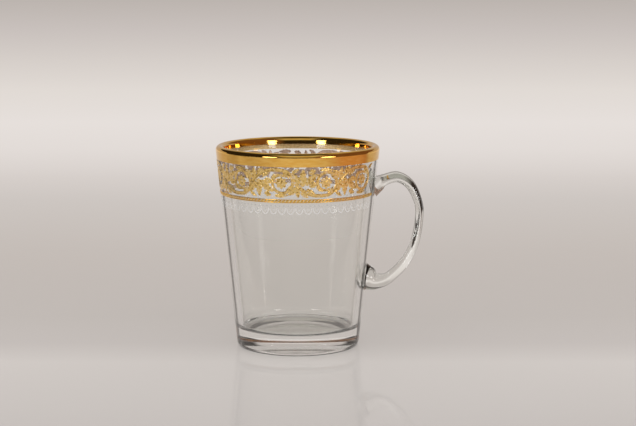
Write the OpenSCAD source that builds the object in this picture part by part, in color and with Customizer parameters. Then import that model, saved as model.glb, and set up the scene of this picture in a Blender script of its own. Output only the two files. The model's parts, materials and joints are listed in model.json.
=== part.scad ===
// Clear glass tea mug: a tapered tumbler with a thick base and a fused ear-shaped handle.
// The lip is gilded, and below it run a gold scroll frieze, a gold rope line and a pale lace border.
// The axis of the tumbler is Z, the table is at z = 0 and the handle points along +X.

/* [Tumbler] */
// Height from the table to the crest of the lip
glass_h = 98.4; // [92:0.1:125]
// Outside diameter of the taper, carried up to the crest
rim_d = 80; // [72:0.5:95]
// Outside diameter of the taper, carried down to the table
base_d = 60; // [52:0.5:70]
// Thickness of the wall at the lip
lip_wall = 3.8; // [2.4:0.1:4.6]
// Thickness of the wall at the level of the inner floor
foot_wall = 3.8; // [2.4:0.1:5]

/* [Base] */
// Thickness of the base, from the table to the inner floor
base_t = 9.3; // [6:0.1:14]
// Radius of the rounded heel
heel_r = 2; // [1.4:0.1:5]
// Radius of the corner between the inner wall and the floor
floor_r = 2.6; // [2:0.1:8]
// Width of the flat ring that the glass stands on
foot_ring_w = 3.7; // [2:0.1:8]
// Depth of the hollow inside that ring, at its middle
recess_depth = 2.6; // [0.6:0.1:3.5]

/* [Handle] */
// Drop from the crest to the middle of the upper joint
handle_drop = 19.4; // [16:0.1:26]
// Height of the middle of the lower joint
handle_low_z = 32; // [26:0.5:42]
// How far the handle's centre line stands off the wall
handle_reach = 23.1; // [19:0.1:30]
// Thickness of the handle in the plane of its loop
handle_t = 4.8; // [4:0.1:6.5]
// Width of the handle across its loop, in its upper half
handle_w = 11.5; // [9:0.1:14]

/* [Rim gilding] */
// Thickness of the gold film
gold_t = 0.12; // [0.06:0.01:0.3]
// Drop from the crest to the lower edge of the outer band
outer_band_drop = 6.2; // [4.5:0.1:8]
// Drop from the crest to the lower edge of the inner band
inner_band_drop = 3.4; // [3:0.1:8]

/* [Scroll frieze] */
// Bare strip between the outer band and the frieze
frieze_gap = 0.3; // [0.1:0.1:2]
// Height of the frieze
frieze_h = 14.3; // [10:0.1:18]
// Number of spirals
scroll_count = 10; // [8:2:14]
// Angle at the handle that is left bare of ornament
bare_angle = 43.2; // [36:0.1:60]
// Height of the gold relief
relief_h = 0.18; // [0.08:0.01:0.4]

/* [Rope line] */
// Bare strip between the frieze and the rope line
rope_gap = 0.7; // [0.3:0.1:2]
// Height of the rope line with its two rails
rope_h = 1.7; // [1.2:0.1:3]
// Height of each rail
rail_h = 0.42; // [0.2:0.01:0.5]
// Number of slanted strands
strand_count = 120; // [80:10:150]

/* [Lace border] */
// Bare strip between the rope line and the lace
lace_gap = 1.1; // [0.4:0.1:3]
// Height of the lace border
lace_h = 4.7; // [3.5:0.1:6]
// Number of scallops
scallop_count = 50; // [36:2:60]
// Width of the line that the scallops are drawn with
lace_line = 0.42; // [0.25:0.01:0.5]
// Height of the etched relief
lace_relief_h = 0.08; // [0.04:0.01:0.2]

/* [Hidden] */
$fn = 96;

// How far a print's flat facets stand off the curved wall
print_lift = 0.04;
// Steps in each rounded corner of the tumbler's outline
arc_steps = 10;

// The tapered wall
half_taper = atan((rim_d - base_d) / 2 / glass_h);
lip_r = lip_wall / 2;
lip_z = glass_h - lip_r;
lip_x = wall_r(lip_z) - lip_r / cos(half_taper);
inner_top = [lip_x - lip_r * cos(half_taper), lip_z + lip_r * sin(half_taper)];
inner_foot = [wall_r(base_t) - foot_wall, base_t];
inner_taper = atan((inner_top[0] - inner_foot[0]) / (inner_top[1] - inner_foot[1]));
heel_x = wall_r(heel_r) - heel_r / cos(half_taper);
floor_z = base_t + floor_r;
floor_x = inner_r(floor_z) - floor_r / cos(inner_taper);
recess_r = heel_x - foot_ring_w;
recess_sphere_r = (recess_r * recess_r + recess_depth * recess_depth) / (2 * recess_depth);
recess_half_angle = asin(recess_r / recess_sphere_r);

// The gold's thickness, measured square to the outer wall
gold_step = gold_t * [cos(half_taper), -sin(half_taper)];

// Heights of the ornament, stacked down from the crest
outer_band_z = glass_h - outer_band_drop;
inner_band_low = [inner_r(glass_h - inner_band_drop), glass_h - inner_band_drop];
frieze_top_z = outer_band_z - frieze_gap;
frieze_mid_z = frieze_top_z - frieze_h / 2;
rope_top_z = frieze_top_z - frieze_h - rope_gap;
rope_low_z = rope_top_z - rope_h;
lace_top_z = rope_low_z - lace_gap;

// The arc that carries ornament
first_azimuth = bare_angle / 2;
ornament_arc = 360 - bare_angle;

// Handle: standoff and height of the centre line, then thickness and width of its section.
// They are shares of the reach, of the rise between the joints, of the thickness and of the width.
handle_shares = [
    [-0.08, 0.975, 2.2, 1.12], [0.03, 1.005, 1.75, 1.05], [0.17, 1.047, 1.2, 1], [0.45, 1.078, 1.12, 1],
    [0.74, 0.992, 1.06, 1], [0.945, 0.81, 0.95, 1], [1, 0.63, 0.92, 0.95], [0.955, 0.37, 0.98, 0.8],
    [0.775, 0.166, 1.08, 0.76], [0.48, 0.012, 1.2, 0.78], [0.22, -0.022, 1.72, 0.88],
    [0.05, 0.004, 2.6, 1.02], [-0.08, 0.02, 3.3, 1.14]
];
handle_sides = 16;
handle_steps = 4;
handle_rise = glass_h - handle_drop - handle_low_z;

// One cell of the frieze: its width as a share of half its height, and its parts as shares of the same
cell_share = 3.02;
stem_low_share = 0.86;
stem_side_share = 0.79;
stem_end_share = 0.36;
stem_clear_share = 0.13;
stem_lead_share = 0.07;
stem_width_shares = [0.17, 0.1];
stem_lead_angle = 90;
stem_curl_angle = 455;
// The first stem has no spiral to sprout from, so it starts this much later
first_stem_angle = 24;
stem_steps = 28;
stem_start_share = cell_share - stem_side_share - stem_clear_share;

// Leaves: x, y, length and width as shares, then the angle at the base and the bend in degrees
leaf_shares = [
    [-1.62, -0.3, 1.18, 0.3, 92, -6], [-1.85, -0.13, 0.94, 0.27, 102, 42],
    [-1.43, -0.22, 1.16, 0.28, 72, -54], [-1.27, -0.34, 0.62, 0.2, 40, -52],
    [-2.02, -0.26, 0.74, 0.24, -116, -44], [-1.96, -0.38, 0.57, 0.22, -80, -8],
    [-1.74, -0.53, 0.58, 0.19, -64, 34], [-0.44, 0.82, 0.86, 0.16, 12, -22],
    [-0.64, -0.42, 0.56, 0.15, -56, 50], [0.06, -0.63, 0.64, 0.18, 8, 76],
    [0.55, 0.08, 0.56, 0.2, 103, 84], [-0.02, 0.46, 0.5, 0.17, 188, 82]
];
leaf_tip_share = 0.012;
leaf_steps = 6;
// The leaf's fullest place lies nearer its base
leaf_fullness = 0.75;

// Rosettes: outer and inner radius of the petals
rosette_shares = [0.26, 0.16];
petals = 8;

// Lace: where the dots, the scallop's cusp and belly, and the diamond lie between its top and its bottom
dot_row_share = 0.08;
cusp_share = 0.3;
belly_share = 0.95;
diamond_share = 0.5;
diamond_size_shares = [0.16, 0.15];
dot_radius_share = 0.07;
dots_per_scallop = 2;
dot_sides = 6;
scallop_steps = 6;
scallop_width_share = 0.92;

// Rope line: slant and width of a strand as shares of one strand's pitch, and the bead at each end
strand_slant_share = 0.5;
strand_width_share = 0.7;
strand_clear_share = 0.12;
end_bead_share = 0.85;
bead_sides = 8;

// Radius of the outer wall at height z
function wall_r(z) = base_d / 2 + (rim_d - base_d) / 2 * z / glass_h;

// Radius of the inner wall at height z
function inner_r(z) = inner_foot[0] + (z - inner_foot[1]) * tan(inner_taper);

// Points of an arc about a centre, from angle a to angle b
function arc(centre, r, a, b) =
    [for (i = [0:arc_steps]) let (t = a + (b - a) * i / arc_steps) centre + r * [cos(t), sin(t)]];

// A place on the outer wall, lifted off it by the height h
function on_wall(azimuth, z, h) =
    let (r = wall_r(z) + print_lift + h) [r * cos(azimuth), r * sin(azimuth), z];

// A smooth curve through a list of rows, at step i of the given number of steps a row
function smooth_row(rows, i, steps) =
    let (
        last = len(rows) - 1,
        k = min(floor(i / steps), last - 1),
        t = i / steps - k,
        p1 = rows[k],
        p2 = rows[k + 1],
        p0 = k > 0 ? rows[k - 1] : 2 * p1 - p2,
        p3 = k + 2 <= last ? rows[k + 2] : 2 * p2 - p1
    )
    (2 * p1 + (p2 - p0) * t + (2 * p0 - 5 * p1 + 4 * p2 - p3) * t * t
        + (3 * p1 - p0 - 3 * p2 + p3) * t * t * t) / 2;

// Direction of a curve of points at its station i
function heading(points, i) =
    let (
        a = points[max(i - 1, 0)],
        b = points[min(i + 1, len(points) - 1)]
    )
    (b - a) / norm(b - a);

// Two triangles for a four-sided face
function quad(a, b, c, d) = [[a, b, c], [a, c, d]];

// Flat stations [x, y, width] of a spiral stem in its cell
function stem_radius(phi) =
    let (t = (phi - 180) / stem_lead_angle)
    t < 1
        ? stem_low_share + stem_lead_share * (1 - t)
            + (stem_start_share - stem_low_share - stem_lead_share) * pow(1 - t, 2)
        : stem_low_share
            + (stem_end_share - stem_low_share) * (phi - 180 - stem_lead_angle) / stem_curl_angle;

function stem_flat(k) =
    [for (i = [0:stem_steps])
        let (
            t = i / stem_steps,
            first = k == 0 ? first_stem_angle : 0,
            phi = 180 + first + (stem_lead_angle + stem_curl_angle - first) * t,
            r = stem_radius(phi),
            width = stem_width_shares[0] + (stem_width_shares[1] - stem_width_shares[0]) * t
        )
        [r * cos(phi), r * sin(phi), width]];

// Flat stations [x, y, width] of a leaf that bends evenly along its length
function leaf_sum(shares, i) =
    i == 0
        ? [shares[0], shares[1]]
        : let (a = shares[4] + shares[5] * (i - 1 / 2) / leaf_steps)
            leaf_sum(shares, i - 1) + shares[2] / leaf_steps * [cos(a), sin(a)];

function leaf_flat(shares) =
    [for (i = [0:leaf_steps])
        let (
            p = leaf_sum(shares, i),
            fill = sin(180 * pow(i / leaf_steps, leaf_fullness))
        )
        [p[0], p[1], shares[3] * fill + leaf_tip_share]];

// A place of the frieze's flat cell k, where every second cell is turned upside down
function frieze_place(k, x, y, h) =
    on_wall(
        first_azimuth + ornament_arc * (k + 1 / 2 + x / cell_share) / scroll_count,
        frieze_mid_z + cell_side(k) * y * frieze_h / 2,
        h
    );

function cell_side(k) = k % 2 == 0 ? 1 : -1;

// The stations of a ridged strip in cell k: left edge, ridge and right edge at each
function frieze_strip(k, flat, height) =
    let (middle = [for (p = flat) [p[0], p[1]]])
    [for (i = [0:len(flat) - 1])
        let (
            d = heading(middle, i),
            side = flat[i][2] / 2 * [-d[1], d[0]] * cell_side(k)
        )
        each [
            frieze_place(k, flat[i][0] + side[0], flat[i][1] + side[1], 0),
            frieze_place(k, flat[i][0], flat[i][1], height),
            frieze_place(k, flat[i][0] - side[0], flat[i][1] - side[1], 0)
        ]];

// Faces of a closed three-sided strip whose first point has the index o
function strip_faces(o, stations) = [
    [o, o + 1, o + 2],
    for (i = [0:stations - 2])
        let (a = o + 3 * i, b = a + 3)
        each concat(quad(a, b, b + 1, a + 1), quad(a + 1, b + 1, b + 2, a + 2), quad(a + 2, b + 2, b, a)),
    let (e = o + 3 * (stations - 1)) [e + 2, e + 1, e]
];

// Many separate strips in one solid, each a list of its points
module strips(list) {
    size = len(list[0]);
    polyhedron(
        points = [for (s = list) each s],
        faces = [for (n = [0:len(list) - 1]) each strip_faces(n * size, size / 3)]
    );
}

// Faces of a low pyramid: the outline's points, then the apex, then the middle of the underside
function pyramid_faces(o, sides) =
    [for (i = [0:sides - 1])
        let (a = o + i, b = o + (i + 1) % sides)
        each [[b, a, o + sides], [a, b, o + sides + 1]]];

// Many separate low pyramids in one solid
module pyramids(list) {
    size = len(list[0]);
    polyhedron(
        points = [for (s = list) each s],
        faces = [for (n = [0:len(list) - 1]) each pyramid_faces(n * size, size - 2)]
    );
}

// A low pyramid on the wall about a place, its outline given as [angle, height] offsets
function wall_pyramid(azimuth, z, outline, height) = concat(
    [for (p = outline) on_wall(azimuth + p[0], z + p[1], 0)],
    [on_wall(azimuth, z, height), on_wall(azimuth, z, 0)]
);

// The angle that a length takes up on the wall at height z
function wall_angle(length, z) = length / wall_r(z) * 180 / PI;

// A round outline of [angle, height] offsets at height z
function round_outline(r, sides, z) =
    [for (i = [0:sides - 1])
        let (a = 360 * i / sides) [wall_angle(r * cos(a), z), r * sin(a)]];

// A film of the gold's thickness on the outer wall, between two heights
module wall_film(z0, z1) {
    low = [wall_r(z0), z0];
    high = [wall_r(z1), z1];
    polygon([low, low + gold_step, high + gold_step, high]);
}

// Outline of the tumbler, from the middle of the underside round the lip to the inner floor
function tumbler_outline() = concat(
    [for (i = [0:arc_steps])
        let (a = recess_half_angle * i / arc_steps)
        [
            recess_sphere_r * sin(a),
            i == arc_steps ? 0 : recess_depth - recess_sphere_r * (1 - cos(a))
        ]],
    arc([heel_x, heel_r], heel_r, -90, -half_taper),
    arc([lip_x, lip_z], lip_r, -half_taper, 180 - half_taper),
    arc([floor_x, floor_z], floor_r, -inner_taper, -90),
    [[0, base_t]]
);

module glass_tumbler() {
    color([0.86, 0.88, 0.87, 0.45])
    rotate_extrude()
    polygon(tumbler_outline());
}

// Place and section of the handle's centre line: [x, z, half thickness, half width]
function handle_station(row) =
    let (z = handle_low_z + row[1] * handle_rise)
    [wall_r(z) + row[0] * handle_reach, z, row[2] * handle_t / 2, row[3] * handle_w / 2];

module handle_bar() {
    rings = (len(handle_shares) - 1) * handle_steps;
    stations = [for (i = [0:rings]) handle_station(smooth_row(handle_shares, i, handle_steps))];
    middle = [for (s = stations) [s[0], s[1]]];
    points = [for (i = [0:rings])
        let (d = heading(middle, i), s = stations[i])
        for (j = [0:handle_sides - 1])
            let (a = 360 * j / handle_sides, out = s[2] * cos(a))
            [s[0] - d[1] * out, s[3] * sin(a), s[1] + d[0] * out]];
    faces = [
        for (i = [0:rings - 1])
            for (j = [0:handle_sides - 1])
                let (a = i * handle_sides + j, b = i * handle_sides + (j + 1) % handle_sides)
                each quad(a, b, b + handle_sides, a + handle_sides),
        [for (j = [handle_sides - 1:-1:0]) j],
        [for (j = [0:handle_sides - 1]) rings * handle_sides + j]
    ];
    polyhedron(points = points, faces = faces);
}

// The handle ends where it meets the tapered wall
module handle() {
    color([0.84, 0.86, 0.85, 0.55])
    difference() {
        handle_bar();
        cylinder(r1 = wall_r(0), r2 = wall_r(glass_h), h = glass_h);
    }
}

module outer_gold_band() {
    color([0.86, 0.66, 0.29])
    rotate_extrude()
    wall_film(outer_band_z, lip_z - lip_r * sin(half_taper));
}

module lip_gilding() {
    color([0.9, 0.71, 0.34])
    rotate_extrude()
    polygon(concat(
        arc([lip_x, lip_z], lip_r, -half_taper, 180 - half_taper),
        arc([lip_x, lip_z], lip_r + gold_t, 180 - half_taper, -half_taper)
    ));
}

module inner_gold_band() {
    color([0.72, 0.51, 0.2])
    rotate_extrude()
    polygon([inner_band_low, inner_top, inner_top - gold_step, inner_band_low - gold_step]);
}

module scroll_stems() {
    color([0.8, 0.64, 0.38])
    strips([for (k = [0:scroll_count - 1]) frieze_strip(k, stem_flat(k), relief_h)]);
}

module scroll_leaves() {
    color([0.83, 0.67, 0.41])
    strips([
        for (k = [0:scroll_count - 1])
            for (shares = leaf_shares)
                if (k > 0 || shares[0] > -cell_share / 2)
                    frieze_strip(k, leaf_flat(shares), relief_h)
    ]);
}

module scroll_rosettes() {
    outline = [for (i = [0:2 * petals - 1])
        let (r = rosette_shares[i % 2], a = 180 * i / petals) [r * cos(a), r * sin(a)]];
    color([0.85, 0.69, 0.4])
    pyramids([
        for (k = [0:scroll_count - 1]) concat(
            [for (p = outline) frieze_place(k, p[0], p[1] * cell_side(k), 0)],
            [frieze_place(k, 0, 0, relief_h), frieze_place(k, 0, 0, 0)]
        )
    ]);
}

module rope_rails() {
    color([0.94, 0.77, 0.49])
    rotate_extrude(angle = ornament_arc, start = first_azimuth) {
        wall_film(rope_top_z - rail_h, rope_top_z);
        wall_film(rope_low_z, rope_low_z + rail_h);
    }
}

module rope_strands() {
    pitch = ornament_arc / strand_count;
    half_h = (rope_h / 2 - rail_h) * (1 - strand_clear_share);
    mid_z = (rope_top_z + rope_low_z) / 2;
    slant = pitch * strand_slant_share / 2;
    half_w = pitch * strand_width_share / 2;
    strand = [
        [half_w - slant, -half_h], [half_w + slant, half_h],
        [slant - half_w, half_h], [-slant - half_w, -half_h]
    ];
    bead_r = rope_h / 2 * end_bead_share;
    bead = round_outline(bead_r, bead_sides, mid_z);
    bead_step = wall_angle(rope_h / 2, mid_z);
    color([0.72, 0.54, 0.24]) {
        pyramids([
            for (i = [0:strand_count - 1])
                wall_pyramid(first_azimuth + pitch * (i + 1 / 2), mid_z, strand, relief_h)
        ]);
        pyramids([
            for (a = [first_azimuth - bead_step, first_azimuth + ornament_arc + bead_step])
                wall_pyramid(a, mid_z, bead, relief_h)
        ]);
    }
}

// The scallops hang between evenly spaced cusps
scallop_angle = ornament_arc / scallop_count;

module lace_scallops() {
    half = scallop_angle * scallop_width_share / 2;
    cusp_z = lace_top_z - lace_h * cusp_share;
    sag = lace_h * (belly_share - cusp_share);
    color([0.93, 0.92, 0.9])
    strips([
        for (n = [0:scallop_count - 1])
            [for (i = [0:scallop_steps])
                let (
                    t = 180 * i / scallop_steps,
                    azimuth = first_azimuth + scallop_angle * (n + 1 / 2),
                    out = [-half * cos(t), cusp_z - sag * sin(t)],
                    in_share = 1 - wall_angle(lace_line, cusp_z) / half,
                    in = [-half * in_share * cos(t), cusp_z - (sag - lace_line) * sin(t)]
                )
                each [
                    on_wall(azimuth + in[0], in[1], 0),
                    on_wall(azimuth + (in[0] + out[0]) / 2, (in[1] + out[1]) / 2, lace_relief_h),
                    on_wall(azimuth + out[0], out[1], 0)
                ]]
    ]);
}

module lace_diamonds() {
    z = lace_top_z - lace_h * diamond_share;
    across = wall_angle(lace_h * diamond_size_shares[0], z);
    up = lace_h * diamond_size_shares[1];
    color([0.95, 0.94, 0.92])
    pyramids([
        for (n = [0:scallop_count - 1])
            wall_pyramid(
                first_azimuth + scallop_angle * (n + 1 / 2),
                z,
                [[across, 0], [0, up], [-across, 0], [0, -up]],
                lace_relief_h
            )
    ]);
}

module lace_dots() {
    z = lace_top_z - lace_h * dot_row_share;
    outline = round_outline(lace_h * dot_radius_share, dot_sides, z);
    count = scallop_count * dots_per_scallop;
    color([0.93, 0.92, 0.9])
    pyramids([
        for (n = [0:count - 1])
            wall_pyramid(first_azimuth + ornament_arc * (n + 1 / 2) / count, z, outline, lace_relief_h)
    ]);
}

glass_tumbler();
handle();
outer_gold_band();
lip_gilding();
inner_gold_band();
scroll_stems();
scroll_leaves();
scroll_rosettes();
rope_rails();
rope_strands();
lace_scallops();
lace_diamonds();
lace_dots();
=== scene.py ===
import json
from math import asin, atan, atan2, cos, floor, hypot, pi, radians, sin, tan

import bpy
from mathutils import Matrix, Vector
from mathutils.geometry import delaunay_2d_cdt

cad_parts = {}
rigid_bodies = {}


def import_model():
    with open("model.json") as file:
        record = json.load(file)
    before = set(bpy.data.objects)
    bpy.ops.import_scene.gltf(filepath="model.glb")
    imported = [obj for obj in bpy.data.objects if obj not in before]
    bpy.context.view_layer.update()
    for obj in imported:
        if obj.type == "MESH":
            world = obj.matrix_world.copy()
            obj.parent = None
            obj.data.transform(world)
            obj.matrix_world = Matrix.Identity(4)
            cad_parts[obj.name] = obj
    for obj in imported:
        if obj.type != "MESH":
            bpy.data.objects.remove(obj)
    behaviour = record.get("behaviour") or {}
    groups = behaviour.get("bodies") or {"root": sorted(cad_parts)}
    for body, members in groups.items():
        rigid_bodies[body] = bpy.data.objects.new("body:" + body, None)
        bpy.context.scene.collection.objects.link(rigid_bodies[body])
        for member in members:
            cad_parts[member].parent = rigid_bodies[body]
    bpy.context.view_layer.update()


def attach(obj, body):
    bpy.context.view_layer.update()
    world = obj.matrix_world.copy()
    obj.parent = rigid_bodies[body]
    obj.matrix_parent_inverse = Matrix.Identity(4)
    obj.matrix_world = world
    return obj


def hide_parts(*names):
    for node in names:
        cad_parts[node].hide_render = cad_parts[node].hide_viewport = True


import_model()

# Millimetres to metres
MM = 0.001
# Angles in radians and lengths in millimetres below this count as none
TINY = 1e-6
# Faces that meet at more than this angle, in degrees, keep a sharp edge
CREASE_ANGLE = 35.0

# Tumbler, in millimetres
GLASS_H = 98.4
RIM_D = 80.0
BASE_D = 60.0
LIP_WALL = 3.8
FOOT_WALL = 3.8
BASE_T = 9.3
HEEL_R = 2.0
FLOOR_R = 2.6
FOOT_RING_W = 3.7
RECESS_DEPTH = 2.6

# Handle, in millimetres
HANDLE_DROP = 19.4
HANDLE_LOW_Z = 32.0
HANDLE_REACH = 23.1
HANDLE_T = 4.8
HANDLE_W = 11.5
HANDLE_RISE = GLASS_H - HANDLE_DROP - HANDLE_LOW_Z
# Standoff and height of the centre line, then thickness and width of its section, as shares
HANDLE_SHARES = [
    (-0.08, 0.975, 2.2, 1.12), (0.03, 1.005, 1.75, 1.05), (0.17, 1.047, 1.2, 1), (0.45, 1.078, 1.12, 1),
    (0.74, 0.992, 1.06, 1), (0.945, 0.81, 0.95, 1), (1, 0.63, 0.92, 0.95), (0.955, 0.37, 0.98, 0.8),
    (0.775, 0.166, 1.08, 0.76), (0.48, 0.012, 1.2, 0.78), (0.22, -0.022, 1.72, 0.88),
    (0.05, 0.004, 2.6, 1.02), (-0.08, 0.02, 3.3, 1.14),
]
HANDLE_SIDES = 48
HANDLE_RINGS = 168

# Gilding, in millimetres
GOLD_T = 0.12
OUTER_BAND_DROP = 6.2
INNER_BAND_DROP = 3.4
# How deep a fired-on layer reaches under the face of the glass
FIRED_DEPTH = 0.03

# Ornament, in millimetres and degrees
FRIEZE_GAP = 0.3
FRIEZE_H = 14.3
SCROLLS = 10
BARE_ANGLE = 43.2
RELIEF_H = 0.2
ROPE_GAP = 0.7
ROPE_H = 1.7
RAIL_H = 0.42
STRANDS = 120
LACE_GAP = 1.1
LACE_H = 4.7
SCALLOPS = 50
LACE_LINE = 0.42
LACE_RELIEF_H = 0.08

# The tapered wall
HALF_TAPER = atan((RIM_D - BASE_D) / 2 / GLASS_H)
LIP_R = LIP_WALL / 2
LIP_Z = GLASS_H - LIP_R


def wall_r(z):
    """Radius of the outer wall at height z."""
    return BASE_D / 2 + (RIM_D - BASE_D) / 2 * z / GLASS_H


LIP_X = wall_r(LIP_Z) - LIP_R / cos(HALF_TAPER)
INNER_TOP = (LIP_X - LIP_R * cos(HALF_TAPER), LIP_Z + LIP_R * sin(HALF_TAPER))
INNER_FOOT = (wall_r(BASE_T) - FOOT_WALL, BASE_T)
INNER_TAPER = atan((INNER_TOP[0] - INNER_FOOT[0]) / (INNER_TOP[1] - INNER_FOOT[1]))


def inner_r(z):
    """Radius of the inner wall at height z."""
    return INNER_FOOT[0] + (z - BASE_T) * tan(INNER_TAPER)


HEEL_X = wall_r(HEEL_R) - HEEL_R / cos(HALF_TAPER)
FLOOR_Z = BASE_T + FLOOR_R
FLOOR_X = inner_r(FLOOR_Z) - FLOOR_R / cos(INNER_TAPER)
RECESS_R = HEEL_X - FOOT_RING_W
RECESS_SPHERE_R = (RECESS_R ** 2 + RECESS_DEPTH ** 2) / (2 * RECESS_DEPTH)
RECESS_HALF_ANGLE = asin(RECESS_R / RECESS_SPHERE_R)

# Heights of the ornament, stacked down from the crest
OUTER_BAND_Z = GLASS_H - OUTER_BAND_DROP
FRIEZE_TOP_Z = OUTER_BAND_Z - FRIEZE_GAP
FRIEZE_MID_Z = FRIEZE_TOP_Z - FRIEZE_H / 2
ROPE_TOP_Z = FRIEZE_TOP_Z - FRIEZE_H - ROPE_GAP
ROPE_LOW_Z = ROPE_TOP_Z - ROPE_H
LACE_TOP_Z = ROPE_LOW_Z - LACE_GAP
# Where round the wall the ornament begins and how far it runs, in radians
FIRST_AZIMUTH = radians(BARE_ANGLE / 2)
ORNAMENT_ARC = radians(360 - BARE_ANGLE)


# Mesh helpers

def add_object(name, data):
    """A new object in the scene."""
    added = bpy.data.objects.new(name, data)
    bpy.context.scene.collection.objects.link(added)
    return added


def make_piece(name, points, faces, materials, nodes, face_slots=None):
    """A mesh piece from millimetre points, riding on the one body of the part."""
    mesh = bpy.data.meshes.new(name)
    mesh.from_pydata([(x * MM, y * MM, z * MM) for x, y, z in points], [], faces)
    for material in materials:
        mesh.materials.append(material)
    if face_slots:
        mesh.polygons.foreach_set("material_index", face_slots)
    mesh.shade_smooth()
    mesh.set_sharp_from_angle(angle=radians(CREASE_ANGLE))
    piece = add_object(name, mesh)
    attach(piece, "root")
    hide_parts(*nodes)


def used_only(points, faces):
    """The points that some face uses, with the faces renumbered to match."""
    used = sorted({i for face in faces for i in face})
    place = {old: new for new, old in enumerate(used)}
    return [points[i] for i in used], [tuple(place[i] for i in face) for face in faces]


def arc_points(centre, r, start, end, steps):
    """Points of an arc in the plane of an outline, its angles in radians."""
    angles = [start + (end - start) * i / steps for i in range(steps + 1)]
    return [(centre[0] + r * cos(a), centre[1] + r * sin(a)) for a in angles]


def between(a, b, steps):
    """Points that divide a straight stretch of an outline, without its two ends."""
    shares = [i / steps for i in range(1, steps)]
    return [(a[0] + (b[0] - a[0]) * s, a[1] + (b[1] - a[1]) * s) for s in shares]


def revolve(outline, columns, start=0.0, sweep=2 * pi):
    """Points and faces of a closed outline of (radius, height), turned about the axis."""
    full = sweep > 2 * pi - TINY
    rings = columns if full else columns + 1
    size = len(outline)
    points = []
    for i in range(rings):
        a = start + sweep * i / columns
        points += [(r * cos(a), r * sin(a), z) for r, z in outline]
    faces = []
    for i in range(columns):
        here = i * size
        there = (i + 1) % rings * size
        for j in range(size):
            k = (j + 1) % size
            faces.append((here + j, there + j, there + k, here + k))
    if not full:
        faces.append(tuple(range(size)))
        faces.append(tuple(range(columns * size + size - 1, columns * size - 1, -1)))
    return points, faces


def strip_faces(size, steps):
    """Faces of a closed strip with size points across. The first face and the last one are its ends."""
    faces = [tuple(range(size))]
    for i in range(steps):
        for j in range(size):
            k = (j + 1) % size
            faces.append((i * size + j, (i + 1) * size + j, (i + 1) * size + k, i * size + k))
    faces.append(tuple(range(steps * size + size - 1, steps * size - 1, -1)))
    return faces


def on_wall(azimuth, z, h):
    """A place on the outer wall, lifted square off it by h."""
    r = wall_r(z) + h * cos(HALF_TAPER)
    return (r * cos(azimuth), r * sin(azimuth), z - h * sin(HALF_TAPER))


# Tumbler and handle

TUMBLER_COLUMNS = 288
# Steps along the tumbler's outline, from the hollow of the underside round the lip to the inner floor
RECESS_STEPS = 14
RING_STEPS = 6
HEEL_STEPS = 14
WALL_STEPS = 92
LIP_STEPS = 24
INSIDE_STEPS = 70
CORNER_STEPS = 16
FLOOR_STEPS = 12
# Material slots of the glass. The handle has the first two.
OUTSIDE_SLOT = 0
JOINT_SLOT = 1
INSIDE_SLOT = 2
HOLLOW_SLOT = 3
# The part of the wall round the handle's joints: half its columns, and its lowest and highest level
WINDOW_COLUMNS = 14
WINDOW_LOW_Z = 19.0
WINDOW_HIGH_Z = 90.0
# Points of the wall's grid keep this far from the edge of a joint
JOINT_CLEAR = 0.5
# Rings of points inside a joint, as shares of its size
JOINT_RINGS = (0.8, 0.55, 0.3)
# Kind of triangulation: all triangles between the points
ALL_TRIANGLES = 0
# Step along the handle, in rows of its shares, that gives its direction
HANDLE_STEP = 0.02
# Rows of its shares within which each end of the handle crosses the wall, and how often they are halved
CROSSING_REACH = 3.0
CROSSING_HALVINGS = 40


def tumbler_outline():
    """The outline from the middle of the underside round the lip to the inner floor.

    With it come its first row outside the hollow of the underside, the rows of its outer wall and its
    first row inside the tumbler.
    """
    recess = []
    for i in range(RECESS_STEPS + 1):
        a = RECESS_HALF_ANGLE * i / RECESS_STEPS
        recess.append((RECESS_SPHERE_R * sin(a), max(RECESS_DEPTH - RECESS_SPHERE_R * (1 - cos(a)), 0.0)))
    heel = arc_points((HEEL_X, HEEL_R), HEEL_R, -pi / 2, -HALF_TAPER, HEEL_STEPS)
    lip = arc_points((LIP_X, LIP_Z), LIP_R, -HALF_TAPER, pi - HALF_TAPER, LIP_STEPS)
    corner = arc_points((FLOOR_X, FLOOR_Z), FLOOR_R, -INNER_TAPER, -pi / 2, CORNER_STEPS)
    floor_end = (0.0, BASE_T)
    below = recess + between(recess[-1], heel[0], RING_STEPS) + heel
    wall = between(heel[-1], lip[0], WALL_STEPS)
    above = lip + between(lip[-1], corner[0], INSIDE_STEPS) + corner
    above += between(corner[-1], floor_end, FLOOR_STEPS) + [floor_end]
    wall_end = len(below) + len(wall)
    ring_row = len(recess) - 1
    inside_row = wall_end + len(lip) - 1
    return below + wall + above, ring_row, range(len(below), wall_end), inside_row


def smooth_row(rows, t):
    """A smooth curve through a list of rows, at place t counted in rows."""
    last = len(rows) - 1
    k = min(max(floor(t), 0), last - 1)
    u = t - k
    p1 = rows[k]
    p2 = rows[k + 1]
    p0 = rows[k - 1] if k > 0 else [2 * a - b for a, b in zip(p1, p2)]
    p3 = rows[k + 2] if k + 2 <= last else [2 * b - a for a, b in zip(p1, p2)]
    return [
        (2 * b + (c - a) * u + (2 * a - 5 * b + 4 * c - d) * u * u + (3 * b - a - 3 * c + d) * u ** 3) / 2
        for a, b, c, d in zip(p0, p1, p2, p3)
    ]


def handle_station(t):
    """Place and half sizes of the handle's section: x, z, half thickness, half width."""
    out, up, thick, wide = smooth_row(HANDLE_SHARES, t)
    z = HANDLE_LOW_Z + up * HANDLE_RISE
    return wall_r(z) + out * HANDLE_REACH, z, thick * HANDLE_T / 2, wide * HANDLE_W / 2


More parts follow.
